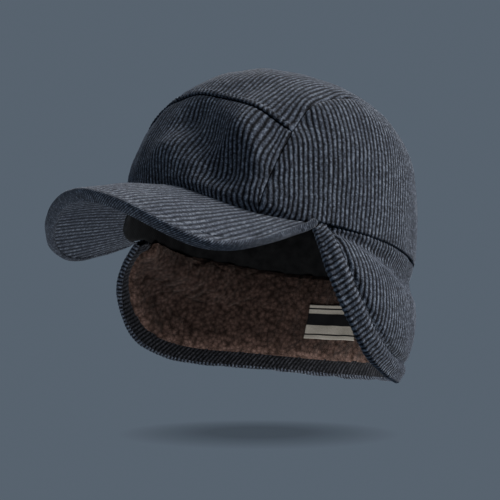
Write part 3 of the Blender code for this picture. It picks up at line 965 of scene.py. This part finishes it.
def crown_panel(name, way, width, height, ribs_at, material, node, welt=None):
    """One ribbed panel of the crown, rolled in along its seams, with its borders turned in."""
    columns = round(width / CELL) + 1
    rows = round(height / CELL_ALONG) + 1
    gap_u = 0.5 * SEAM_GAP / width
    gap_v = 0.5 * SEAM_GAP / height
    U, V = np.meshgrid(np.linspace(gap_u, 1 - gap_u, columns), np.linspace(gap_v, 1 - gap_v, rows))
    flat = way(U.reshape(-1), V.reshape(-1)).reshape(rows, columns, 3)
    beside = np.minimum(U, 1 - U) * width
    along = np.minimum(V, 1 - V) * height
    inset = SEAM_DIP * np.minimum(hill(beside, 0.0, SEAM_ROLL) + hill(along, 0.0, SEAM_ROLL), 1.0)
    around = np.abs(np.degrees(np.arctan2(flat[..., 0], -flat[..., 1])))
    over_brim = 1 - smooth_step(TEMPLE_AZIMUTH - 16, TEMPLE_AZIMUTH, around)
    if welt is None:
        inset = inset + BRIM_HOLLOW * over_brim * hill(V * height, 0.0, BRIM_HOLLOW_HEIGHT)
    else:
        inset = inset - welt(U, V)
    points = on_crown(flat, inset)
    points = uneven(points, unit(points), CROWN_UNEVEN, CROWN_WAVE, 11)
    normals = grid_normals(points, unit(points))
    ribs = ribs_at(points) / RIB_PITCH + RIB_WANDER * waves(points, 60 * MM, 12)
    run = (points @ np.array([0.3, 0.5, 1.0])) / RIB_PITCH
    points = ribbed(points, normals, ribs)
    return cloth_piece(name, turned_in(points, normals, PANEL_TURN), ribs, run, material, node)


def plane_ribs(azimuth, elevation):
    """Lengths across the head along a section of the crown, for ribs in planes along the head."""
    scale = section_scale(crown_point(azimuth, elevation), 0)
    return lambda points: read_scale(scale, points[..., 0])


def side_ribs():
    """Lengths round a side panel, whose ribs stand upright and close up towards the back."""
    azimuth = np.linspace(25, 150, 126)
    planes = section_scale(crown_point(azimuth, np.full(len(azimuth), RIB_SECTION)), 1)

    def ribs_at(points):
        around = np.degrees(np.arctan2(np.abs(points[..., 0]), -points[..., 1]))
        share = smooth_step(95.0, 160.0, around)
        by_turn = read_scale((azimuth, planes[1]), around)
        return read_scale(planes, points[..., 1]) * (1 - share) + by_turn * share
    return ribs_at


def make_crown(material):
    """Front, top and two side panels."""
    front_width = math.radians(2 * CORNER_AZIMUTH) * HALF_WIDTH
    front_height = math.radians(FRONT_TOP_ELEVATION) * FRONT_REACH
    side_width = math.radians(BACK_FOOT_AZIMUTH - FRONT_SIDE_FOOT) * HALF_WIDTH
    side_height = math.radians(CORNER_ELEVATION + 12) * CROWN_HEIGHT

    def welt(U, V):
        """The top panel lies over the front panel in a raised welt, which dies out at both corners."""
        ahead = 1 - smooth_step(*WELT_ENDS, V * TOP_LENGTH)
        return WELT_HEIGHT * ahead * smooth_step(0, 0.03, U) * smooth_step(0, 0.03, 1 - U)
    azimuth = np.linspace(-60, 60, 121)
    lift = np.linspace(30, 150, 121)
    front_ribs = plane_ribs(azimuth, np.full(len(azimuth), RIB_SECTION))
    top_ribs = plane_ribs(np.where(lift < 90, -90.0, 90.0), np.where(lift < 90, lift, 180 - lift))
    sides = (side_width, side_height, side_ribs())
    return [crown_panel(name, way, *sizes, material, node, over) for name, node, way, sizes, over in (
        ("front_panel_cloth", "crown_front_panel", front_panel_way(),
         (front_width, front_height, front_ribs), None),
        ("top_panel_cloth", "crown_top_panel", top_panel_way(), (front_width, TOP_LENGTH, top_ribs), welt),
        ("left_side_cloth", "crown_side_left", side_panel_way(1), sides, None),
        ("right_side_cloth", "crown_side_right", side_panel_way(-1), sides, None))]


def make_crown_lining(material):
    """Plain inner lining of the crown, seen only from below."""
    around, up = np.meshgrid(np.linspace(0, 360, 97), np.linspace(0, 1, 33))
    low = base_elevation(around) + LINING_START
    points = crown_point(around, low + (LINING_TOP - low) * up, LINING_INSET)
    return take_place(make_mesh("crown_lining", points, None, material, loop=True), None)


def make_brim(material):
    """Padded upper of the brim, rolled round its edge, and the underside."""
    rounds = BRIM_END * np.linspace(-1, 1, round(BRIM_LENGTH / CELL) + 1)
    outs = np.linspace(-BRIM_TUCK / BRIM_REACH, 1.0, round((BRIM_REACH + BRIM_TUCK) / CELL_ALONG) + 1)
    U, V = np.meshgrid(rounds, outs)
    top = brim_surface(U, V)
    normals = -normal_of(brim_surface, U, V)
    thick = BRIM_THICKNESS * brim_share(rounds)
    up = normals[-1]
    ahead = past_edge_way(top[-1], up, 1)

    # Rolled face and the lip under it
    turn = spline(BRIM_FACE, np.linspace(0, 1, len(BRIM_FACE)), np.linspace(0, 1, 17))[1:]
    slope = np.gradient(turn, axis=0)
    slope = slope / np.linalg.norm(slope, axis=1, keepdims=True)
    edge = top[-1]
    rolled = [edge + (place[0] * thick)[:, None] * ahead - (place[1] * thick)[:, None] * up for place in turn]
    facing = [way[1] * ahead + way[0] * up for way in slope]
    gone = np.cumsum(np.linalg.norm(np.diff(turn, axis=0, prepend=[[0.0, 0.0]]), axis=1))
    lip = np.linspace(0, 1, 5)[1:]
    run = [edge[:, 0] + thick * share * ahead[:, 0] for share in gone] + [edge[:, 0]] * len(lip)
    rolled += [rolled[-1] - BRIM_WRAP * share * ahead for share in lip]
    facing += [-up for share in lip]
    points = np.concatenate([top, rolled])
    ways = np.concatenate([normals, facing])
    wander = RIB_WANDER * waves(points, WANDER_SIZE, 21)
    points = uneven(points, ways, BRIM_UNEVEN, CLOTH_WAVE, 22)
    lines = lengths_down(points)
    past_edge = lines - lines[len(outs) - 1]
    stitch = hill(past_edge, -BRIM_STITCH, BRIM_STITCH_SPREAD)
    lip_rise = hill(lines[-1] - lines, *BRIM_LIP)
    points = points + (BRIM_RELIEF * lip_rise - BRIM_RELIEF * stitch)[..., None] * ways
    slanted = (lengths_along(top[-1])[None] + BRIM_FACE_SLANT * past_edge) / BRIM_FACE_PITCH
    on_face = past_edge > 0.2 * MM
    ribs = np.where(on_face, slanted, np.concatenate([top[..., 0], run]) / RIB_PITCH + wander)
    points = ribbed(points, ways, ribs, np.where(on_face, 0.1, 0.6) * RIB_HEIGHT)
    upper = cloth_piece("brim_upper_cloth", turned_in(points, ways, BRIM_TURN), ribs, lines / RIB_PITCH,
                        material, "brim_upper")

    # Underside
    outs = np.linspace(0.02, 1 - 1.2 * MM / BRIM_REACH, round(BRIM_REACH / CELL_ALONG) + 1)
    U, V = np.meshgrid(rounds * BRIM_END, outs)
    points = brim_point(U, V, np.full(U.shape, BRIM_THICKNESS - BRIM_UNDER_RISE))
    ways = normal_of(brim_surface, U, V)
    ribs = points[..., 0] / RIB_PITCH + RIB_WANDER * waves(points, WANDER_SIZE, 23)
    points = ribbed(points, ways, ribs, 0.7 * RIB_HEIGHT)
    under = cloth_piece("brim_under_cloth", turned_in(points, ways, BRIM_TURN), ribs,
                        V * BRIM_REACH / RIB_PITCH, material, "brim_under")
    return upper, under


def flap_columns():
    """Shares round the flap and lengths along its lower edge, evenly spaced for its ribs."""
    shares = FLAP_END * np.linspace(1, -1, 2001)
    run = lengths_along(flap_surface(shares, np.full(len(shares), FLAP_RIB_LEVEL)))
    wanted = np.linspace(0, run[-1], round(run[-1] / CELL) + 1)
    return np.interp(wanted, run, shares), wanted


def flap_way(U, V):
    """Outward normal of the flap."""
    return normal_of(flap_surface, U, V)


def make_flap_outer(cord):
    """Outer cloth of the flap, stitched along its hem and rolled round its lower edge."""
    rounds, run = flap_columns()
    downs = np.linspace(0.0, 1.0, round(FLAP_DROP / CELL_ALONG) + 1)
    U, V = np.meshgrid(rounds, downs)
    points = flap_surface(U, V)
    ways = flap_way(U, V)
    edge = points[-1]
    out = ways[-1]
    ahead = past_edge_way(edge, out, 2)
    half = 0.5 * (2 * CLOTH + LAYER_GAP)
    turn = np.linspace(0, np.pi, 9)[1:]
    rolled = [edge + half * 0.8 * np.sin(angle) * ahead - half * (1 - np.cos(angle)) * out for angle in turn]
    points = np.concatenate([points, rolled])
    ways = np.concatenate([ways, [np.sin(angle) * ahead + np.cos(angle) * out for angle in turn]])
    lines = lengths_down(points)
    over_edge = np.clip(lines[len(downs) - 1] - lines, 0, None)
    above_edge = (1 - downs)[:, None] * flap_height(rounds)[None]
    across = np.concatenate([above_edge, np.zeros((len(turn), len(rounds)))])
    ribs = np.where(across < HEM_WIDTH, run[None] / FLAP_RIB_PITCH, side_ribs()(points) / RIB_PITCH)
    ribs = ribs + RIB_WANDER * waves(points, WANDER_SIZE, 31)
    stitch = hill(across, HEM_WIDTH, HEM_STITCH_SPREAD) * smooth_step(0, 8 * MM, over_edge + across)
    puff = np.sin(np.pi * np.clip(across / HEM_WIDTH, 0, 1)) * smooth_step(0, 10 * MM, over_edge + across)
    points = points + (HEM_PUFF * puff - HEM_STITCH_DEPTH * stitch)[..., None] * ways
    points = uneven(points, ways, FLAP_UNEVEN, CLOTH_WAVE, 32)
    points = ribbed(points, ways, ribs)
    wide = turned_in(points, ways, FLAP_TURN)
    behind = np.pad(ways[0], ((1, 1), (0, 0)), mode="edge")
    wide[0] = wide[1] - FLAP_ROOT_DEPTH * behind + np.array([0.0, 0.0, FLAP_ROOT_RISE])
    outer = cloth_piece("flap_outer_cloth", wide, ribs, lines / RIB_PITCH, cord, "flap_outer")
    return outer, rounds, edge


def make_flap_hem(rounds, edge, cloth):
    """The hem, turned in along the lower edge of the flap."""
    shares = np.linspace(0, 1, 12)
    starts = np.clip(hem_start(rounds, HEM_WIDTH), 0.02, None)
    V = starts[None] + (1 - starts[None]) * shares[:, None]
    U = np.repeat(rounds[None], len(shares), 0)
    points = flap_point(U, V, np.full(U.shape, 2 * CLOTH + LAYER_GAP))
    ways = -flap_way(U, V)
    ribs = (lengths_along(edge)[None] - HEM_SLANT * HEM_WIDTH * shares[:, None]) / HEM_RIB_PITCH
    ribs = ribs + RIB_WANDER * waves(points, WANDER_SIZE, 33)
    swell = HEM_SWELL * np.sin(np.pi * shares)[:, None]
    points = points + (swell + HEM_UNEVEN * waves(points, 15 * MM, 34))[..., None] * ways
    points = ribbed(points, ways, ribs, 0.7 * RIB_HEIGHT)
    run = np.repeat(shares[:, None] * HEM_WIDTH / RIB_PITCH, len(rounds), 1)
    return cloth_piece("flap_hem_cloth", turned_in(points, ways, HEM_TURN), ribs, run, cloth, "flap_hem")


def make_flap_pile(pile):
    """Curly lining of the flap."""
    rounds = lining_end() * np.linspace(1, -1, round(PILE_LENGTH / PILE_CELL))
    shares = np.linspace(0, 1, round(PILE_DROP / PILE_CELL))
    last = np.clip(hem_start(rounds, HEM_WIDTH - 1.0 * MM), 0.02, None)
    V = PILE_START + (last[None] - PILE_START) * shares[:, None]
    U = np.repeat(rounds[None], len(shares), 0)
    points = flap_point(U, V, np.full(U.shape, CLOTH + LAYER_GAP + PILE))
    ways = -flap_way(U, V)
    run = lengths_along(flap_surface(rounds, np.full(len(rounds), 0.5)))
    tall = np.linalg.norm(points[-1] - points[0], axis=-1)
    place = np.stack([np.repeat(run[None], len(shares), 0), shares[:, None] * tall[None]], -1)
    far, size = PILE_WANDER
    place = place + far * np.stack([waves(points, size, 42), waves(points, size, 43)], -1)
    curl = sum(share * curls(place, size, seed) for size, seed, share in PILE_TUFTS)
    to_end = (rounds[0] - np.abs(rounds))[None] * 200 * MM
    to_lower = (1 - shares[:, None]) * tall[None]
    border = np.minimum(np.minimum(shares[:, None] * tall[None], to_lower), to_end + 0.5 * MM)
    sunk = PILE_SUNK[0] * (1 - smooth_step(0, PILE_SUNK[1], border))
    rise = PILE_DEPTH * (curl - 1) + PILE_WAVE[0] * waves(points, PILE_WAVE[1], 41) - sunk
    # How much lighter the pile is made towards its lower border and its ends
    lighter = hill(np.minimum(to_lower, to_end), 0.0, PILE_LIGHTER_BORDER)
    points = points + rise[..., None] * ways
    wide = turned_in(points, ways, PILE_TURN)
    # The map carries the lighter border share and the curl heights, from which the material paints shade
    # between the curls
    return cloth_piece("flap_pile", wide, lighter, curl, pile, "flap_lining")


def curls(place, size, seed):
    """Round tufts on a jittered grid: 1 on top of a tuft and towards 0 between tufts."""
    cell = np.floor(place / size).astype(int)
    best = np.full(place.shape[:-1], 9.0)
    for right in (-1, 0, 1):
        for up in (-1, 0, 1):
            near = cell + np.array([right, up])
            mixed = (near[..., 0] * 7349 + near[..., 1] * 9151 + seed * 3571) % 99991
            jitter = np.stack([(mixed * 0.61803) % 1.0, (mixed * 0.75487) % 1.0], -1)
            middle = (near + 0.5 + 0.75 * (jitter - 0.5)) * size
            best = np.minimum(best, np.linalg.norm(place - middle, axis=-1) / size)
    return np.sqrt(np.clip(1 - best**2, 0, 1))


def make_band(material):
    """Smooth sweatband round the inside of the base, with rolled edges."""
    around, v = np.meshgrid(np.linspace(-180, 180, 361), np.linspace(0, 1, 25))
    rise = math.degrees(BAND_HEIGHT / HALF_WIDTH)
    points = crown_point(around, base_elevation(around) + rise * (1 - v), BAND_INSET + BAND_CLOTH)
    share = np.minimum(np.abs(around) / TEMPLE_AZIMUTH, 1)
    under_brim = (BRIM_THICKNESS * brim_share(share) + SEAM_GAP) * (1 - share**6)
    points = points - stack(0.0, 0.0, under_brim * smooth_step(0.8, 1.0, v))
    outward = unit(points * np.array([1.0, 1.0, 0.0]))
    round_edge = BAND_ROLL * (1 - np.clip(np.sin(np.pi * v), 0, 1) ** 0.25)
    points = points + (round_edge + BAND_WAVE[0] * waves(points, BAND_WAVE[1], 51))[..., None] * outward
    lower_row = points[-1:] + BAND_TURN * outward[-1:] + np.array([0, 0, 0.6 * MM])
    upper_row = points[:1] + BAND_TURN * outward[:1]
    points = np.concatenate([upper_row, points, lower_row])
    return take_place(make_mesh("sweatband_cloth", points, None, material, loop=True), "sweatband")


def make_label(material):
    """Small woven label on the pile, with plain stripes."""
    depth = CLOTH + PILE + 2 * LAYER_GAP + LABEL_CLOTH
    middle = np.array([LABEL_ROUND, LABEL_DOWN])
    step = 0.01
    here, beside, below = (flap_point(*place, np.array(depth)) for place in (
        middle, middle + [step, 0], middle + [0, step]))
    round_length = np.linalg.norm(beside - here) / step
    down_length = np.linalg.norm(below - here) / step
    u, v = np.meshgrid(np.linspace(0, 1, 57), np.linspace(0, 1, 39))
    down = LABEL_HEIGHT * (v - 0.5)
    aside = LABEL_WIDTH * (0.5 - u) + math.tan(math.radians(LABEL_SLANT)) * down
    U = LABEL_ROUND + aside / round_length
    V = LABEL_DOWN + down / down_length
    points = flap_point(U, V, np.full(U.shape, depth))
    ways = -flap_way(U, V)
    border = 1 - smooth_step(0, 0.12, np.minimum(u, 1 - u))
    pillow = LABEL_PILLOW + LABEL_PILLOW * waves(points, 16 * MM, 61) - 0.2 * MM * border
    points = points + pillow[..., None] * ways
    return cloth_piece("label_cloth", turned_in(points, ways, LABEL_TURN), u, v, material, "label")


def make_stitching(thread):
    """Topstitching of the crown, the brim and the flap."""
    rows = []
    share = np.linspace(0.02, 0.98, 400)
    top = top_panel_way()
    for number, distance in enumerate(FRONT_STITCHES):
        path = on_crown(top(share, np.full(len(share), distance / TOP_LENGTH)), -0.55 * MM)
        rows.append(stitches("front_seam_stitches_%d" % (number + 1), path, unit(path), thread))
    rounds = np.linspace(-0.95, 0.95, 700)
    outs = np.full(len(rounds), 1 - BRIM_STITCH / BRIM_REACH)
    up = -normal_of(brim_surface, rounds, outs)
    rows.append(stitches("brim_stitches", brim_surface(rounds, outs) - 0.6 * MM * up, up, thread))
    rounds = np.linspace(0.93, -0.93, 1200)
    downs = np.clip(hem_start(rounds, HEM_WIDTH), 0.05, None)
    out = flap_way(rounds, downs)
    rows.append(stitches("flap_stitches", flap_surface(rounds, downs) - 1.6 * MM * out, out, thread))
    return [take_place(row, None) for row in rows]


# Camera, light and floor


def camera_axes():
    """Right, up and backward directions of the camera, and its place."""
    azimuth = math.radians(CAMERA_AZIMUTH)
    elevation = math.radians(CAMERA_ELEVATION)
    roll = math.radians(CAMERA_ROLL)
    level = math.cos(elevation)
    back = Vector((math.sin(azimuth) * level, -math.cos(azimuth) * level, math.sin(elevation)))
    right = Vector((math.cos(azimuth), math.sin(azimuth), 0.0))
    up = back.cross(right)
    rolled_right = math.cos(roll) * right + math.sin(roll) * up
    rolled_up = -math.sin(roll) * right + math.cos(roll) * up
    return rolled_right, rolled_up, back, Vector(CAMERA_TARGET) + CAMERA_DISTANCE * back


def make_camera():
    """The camera of the photograph: low, from the wearer's left and front, a little rolled."""
    lens = bpy.data.cameras.new("camera")
    lens.lens = CAMERA_LENS
    lens.sensor_width = CAMERA_SENSOR
    camera = add_object("camera", lens)
    camera.matrix_world = Matrix([*zip(*camera_axes()), (0.0, 0.0, 0.0, 1.0)])
    bpy.context.scene.camera = camera


def add_lamp(name, kind, toward, strength):
    """A lamp that is turned to its direction and linked."""
    lamp = bpy.data.lights.new(name, kind)
    lamp.energy = strength
    thing = add_object(name, lamp)
    thing.rotation_euler = Vector(toward).to_track_quat("Z", "Y").to_euler()
    return thing


def make_light():
    """Soft light from above and behind, more from the left side, and a low fill under the brim."""
    for name, toward, strength, angle in SUNS:
        sun = add_lamp(name, "SUN", toward, strength)
        sun.data.angle = math.radians(angle)
        sun.data.color = SUN_COLOUR
    for name, place, toward, strength, size in FILLS:
        fill = add_lamp(name, "AREA", [-part for part in toward], strength)
        fill.data.size = size
        fill.location = place
        fill.visible_camera = False
    world = bpy.data.worlds.new("studio")
    world.use_nodes = True
    background = world.node_tree.nodes["Background"]
    background.inputs["Color"].default_value = (*BACKDROP, 1.0)
    background.inputs["Strength"].default_value = 1.0
    bpy.context.scene.world = world


def make_floor():
    """Plain floor under the hat, level in the photograph, with its middle at the shadow."""
    right, up, back, place = camera_axes()
    tilt = math.radians(CAMERA_ELEVATION + FLOOR_PITCH)
    normal = math.cos(tilt) * up + math.sin(tilt) * back
    scale = CAMERA_SENSOR / CAMERA_LENS / PICTURE_SIZE
    aside = (SHADOW_PIXEL[0] - 0.5 * PICTURE_SIZE) * scale
    below = (SHADOW_PIXEL[1] - 0.5 * PICTURE_SIZE) * scale
    ray = aside * right - below * up - back
    reach = (Vector((0.0, 0.0, FLOOR_HEIGHT)) - place).dot(normal) / ray.dot(normal)
    work = bmesh.new()
    bmesh.ops.create_circle(work, cap_ends=True, segments=96, radius=FLOOR_RADIUS)
    mesh = bpy.data.meshes.new("floor")
    work.to_mesh(mesh)
    work.free()
    mesh.materials.append(floor_material())
    floor = add_object("floor", mesh)
    floor.location = place + reach * ray
    floor.rotation_euler = normal.to_track_quat("Z", "Y").to_euler()


make_camera()
make_light()
make_floor()
# The darkest colour of each corduroy is painted shade for its grooves, and the palest is painted highlight
# for the flecks on its crests
corduroy = corduroy_material("slate corduroy", (0.017, 0.0165, 0.019), (0.057, 0.059, 0.073),
                             (0.132, 0.145, 0.184), (0.33, 0.36, 0.44))
brim_cord = corduroy_material("worn brim corduroy", (0.038, 0.041, 0.051), (0.076, 0.081, 0.102),
                              (0.138, 0.149, 0.186), (0.34, 0.37, 0.44))
hem_cloth = corduroy_material("dark hem corduroy", (0.008, 0.008, 0.009), (0.024, 0.024, 0.028),
                              (0.054, 0.054, 0.062), (0.12, 0.12, 0.14))
band = band_material()
panels = make_crown(corduroy)
crown_lining = make_crown_lining(band)
brim_top, brim_below = make_brim(brim_cord)
flap, flap_rounds, flap_lower = make_flap_outer(corduroy)
hem = make_flap_hem(flap_rounds, flap_lower, hem_cloth)
lining = make_flap_pile(pile_material())
sweatband = make_band(band)
label = make_label(label_material())
make_stitching(thread_material())
